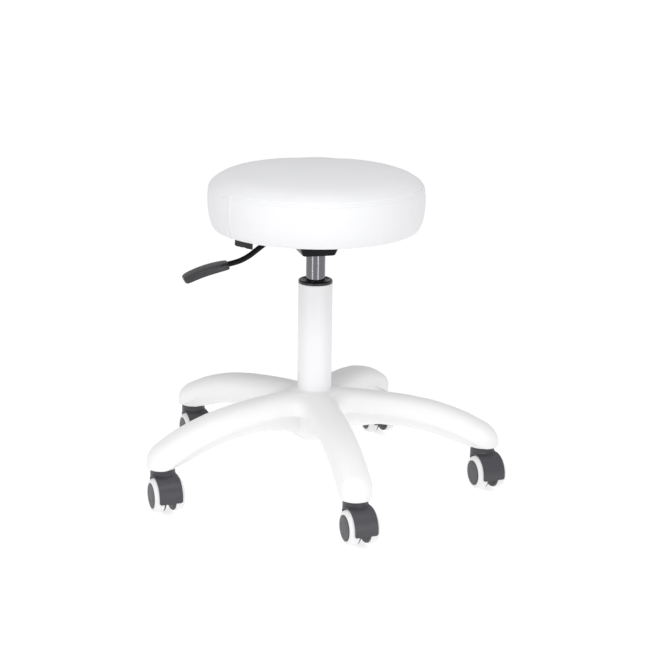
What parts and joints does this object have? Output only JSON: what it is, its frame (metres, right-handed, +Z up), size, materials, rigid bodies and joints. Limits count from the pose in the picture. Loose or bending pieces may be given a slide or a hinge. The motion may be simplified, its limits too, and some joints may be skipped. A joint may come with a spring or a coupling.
{
  "type": "rolling stylist stool",
  "caption": "Round padded stool on a gas lift with a lift lever, a moulded star base with curved arms and hooded twin-wheel casters.",
  "frame": {"origin": "where the column's axis meets the floor the casters stand on", "axes": "+Z up along the column, -Y towards the side the front arm is on, +X to the right seen from there"},
  "size_m": [0.5194, 0.5433, 0.462],
  "materials": {
    "white_nylon": "satin moulded nylon",
    "white_paint": "white gloss powder coat",
    "black_plastic": "satin moulded",
    "steel": "zinc plated",
    "buffer_rubber": "matt",
    "chrome": "polished",
    "gland_plastic": "plain",
    "black_steel": "black gloss enamel",
    "plywood": "raw birch",
    "white_leatherette": "soft sheen, fine grain",
    "black_cloth": "woven, matt",
    "grey_plastic": "satin moulded",
    "white_tread": "smooth soft polyurethane"
  },
  "bodies": {
    "base": {"star_base": "white_nylon", "caster_sleeves": "steel", "caster_stems": "steel", "grip_rings": "steel", "column_tube": "white_paint", "guide_bush": "black_plastic", "end_plate": "steel", "thrust_washers": "steel", "bearing_balls": "steel", "rubber_buffer": "buffer_rubber"},
    "spindle": {"piston_rod": "steel", "retaining_clip": "steel", "piston": "steel"},
    "seat": {"gas_cylinder": "chrome", "end_gland": "gland_plastic", "mechanism_housing": "black_steel", "taper_socket": "black_steel", "lever_bracket": "black_steel", "lever_pivot": "steel", "seat_board": "plywood", "t_nuts": "steel", "seat_bolts": "steel", "seat_cushion": "white_leatherette", "dust_cover": "black_cloth", "staples": "steel", "seat_tag": "black_cloth"},
    "release_valve": {"release_pin": "steel"},
    "lever": {"lever_rod": "black_steel", "lever_handle": "black_plastic"},
    "caster_a": {"caster_hood_a": "grey_plastic", "caster_axle_a": "steel"},
    "wheel_left_a": {"wheel_left_a": "grey_plastic", "tread_left_a": "white_tread"},
    "wheel_right_a": {"wheel_right_a": "grey_plastic", "tread_right_a": "white_tread"},
    "caster_b": {"caster_hood_b": "grey_plastic", "caster_axle_b": "steel"},
    "wheel_left_b": {"wheel_left_b": "grey_plastic", "tread_left_b": "white_tread"},
    "wheel_right_b": {"wheel_right_b": "grey_plastic", "tread_right_b": "white_tread"},
    "caster_c": {"caster_hood_c": "grey_plastic", "caster_axle_c": "steel"},
    "wheel_left_c": {"wheel_left_c": "grey_plastic", "tread_left_c": "white_tread"},
    "wheel_right_c": {"wheel_right_c": "grey_plastic", "tread_right_c": "white_tread"},
    "caster_d": {"caster_hood_d": "grey_plastic", "caster_axle_d": "steel"},
    "wheel_left_d": {"wheel_left_d": "grey_plastic", "tread_left_d": "white_tread"},
    "wheel_right_d": {"wheel_right_d": "grey_plastic", "tread_right_d": "white_tread"},
    "caster_e": {"caster_hood_e": "grey_plastic", "caster_axle_e": "steel"},
    "wheel_left_e": {"wheel_left_e": "grey_plastic", "tread_left_e": "white_tread"},
    "wheel_right_e": {"wheel_right_e": "grey_plastic", "tread_right_e": "white_tread"}
  },
  "joints": [
    {"name": "seat_swivel", "type": "hinge", "parent": "base", "child": "spindle", "pos_m": [0, 0, 0.2], "axis": [0, 0, 1], "continuous": true},
    {"name": "height_slide", "type": "slide", "parent": "spindle", "child": "seat", "axis": [0, 0, 1], "range_m": [0, 0.13]},
    {"name": "lift_lever", "type": "hinge", "parent": "seat", "child": "lever", "pos_m": [-0.0228, -0.00568, 0.372], "axis": [-0.2419, 0.9703, 0], "range_deg": [0, 7], "stiffness_Nm_per_rad": 1.2, "springref_deg": -6.88},
    {"name": "valve_press", "type": "slide", "parent": "seat", "child": "release_valve", "axis": [0, 0, 1], "range_m": [-0.0037, 0]},
    {"name": "caster_swivel_a", "type": "hinge", "parent": "base", "child": "caster_a", "pos_m": [0.05777, -0.24323, 0.055], "axis": [0, 0, 1], "continuous": true},
    {"name": "wheel_roll_left_a", "type": "hinge", "parent": "caster_a", "child": "wheel_left_a", "pos_m": [0.06348, -0.25764, 0.025], "axis": [0.9295, 0.3688, 0], "continuous": true},
    {"name": "wheel_roll_right_a", "type": "hinge", "parent": "caster_a", "child": "wheel_right_a", "pos_m": [0.06348, -0.25764, 0.025], "axis": [0.9295, 0.3688, 0], "continuous": true},
    {"name": "caster_swivel_b", "type": "hinge", "parent": "base", "child": "caster_b", "pos_m": [0.24918, -0.02022, 0.055], "axis": [0, 0, 1], "continuous": true},
    {"name": "wheel_roll_left_b", "type": "hinge", "parent": "caster_b", "child": "wheel_left_b", "pos_m": [0.2549, -0.03463, 0.025], "axis": [0.9295, 0.3688, 0], "continuous": true},
    {"name": "wheel_roll_right_b", "type": "hinge", "parent": "caster_b", "child": "wheel_right_b", "pos_m": [0.2549, -0.03463, 0.025], "axis": [0.9295, 0.3688, 0], "continuous": true},
    {"name": "caster_swivel_c", "type": "hinge", "parent": "base", "child": "caster_c", "pos_m": [0.09623, 0.23074, 0.055], "axis": [0, 0, 1], "continuous": true},
    {"name": "wheel_roll_left_c", "type": "hinge", "parent": "caster_c", "child": "wheel_left_c", "pos_m": [0.10195, 0.21633, 0.025], "axis": [0.9295, 0.3688, 0], "continuous": true},
    {"name": "wheel_roll_right_c", "type": "hinge", "parent": "caster_c", "child": "wheel_right_c", "pos_m": [0.10195, 0.21633, 0.025], "axis": [0.9295, 0.3688, 0], "continuous": true},
    {"name": "caster_swivel_d", "type": "hinge", "parent": "base", "child": "caster_d", "pos_m": [-0.1897, 0.16283, 0.055], "axis": [0, 0, 1], "continuous": true},
    {"name": "wheel_roll_left_d", "type": "hinge", "parent": "caster_d", "child": "wheel_left_d", "pos_m": [-0.18399, 0.14842, 0.025], "axis": [0.9295, 0.3688, 0], "continuous": true},
    {"name": "wheel_roll_right_d", "type": "hinge", "parent": "caster_d", "child": "wheel_right_d", "pos_m": [-0.18399, 0.14842, 0.025], "axis": [0.9295, 0.3688, 0], "continuous": true},
    {"name": "caster_swivel_e", "type": "hinge", "parent": "base", "child": "caster_e", "pos_m": [-0.21348, -0.1301, 0.055], "axis": [0, 0, 1], "continuous": true},
    {"name": "wheel_roll_left_e", "type": "hinge", "parent": "caster_e", "child": "wheel_left_e", "pos_m": [-0.20776, -0.14451, 0.025], "axis": [0.9295, 0.3688, 0], "continuous": true},
    {"name": "wheel_roll_right_e", "type": "hinge", "parent": "caster_e", "child": "wheel_right_e", "pos_m": [-0.20776, -0.14451, 0.025], "axis": [0.9295, 0.3688, 0], "continuous": true}
  ],
  "couplings": [
    {"joint": "valve_press", "follows": "lift_lever", "m_per_rad": -0.029}
  ]
}
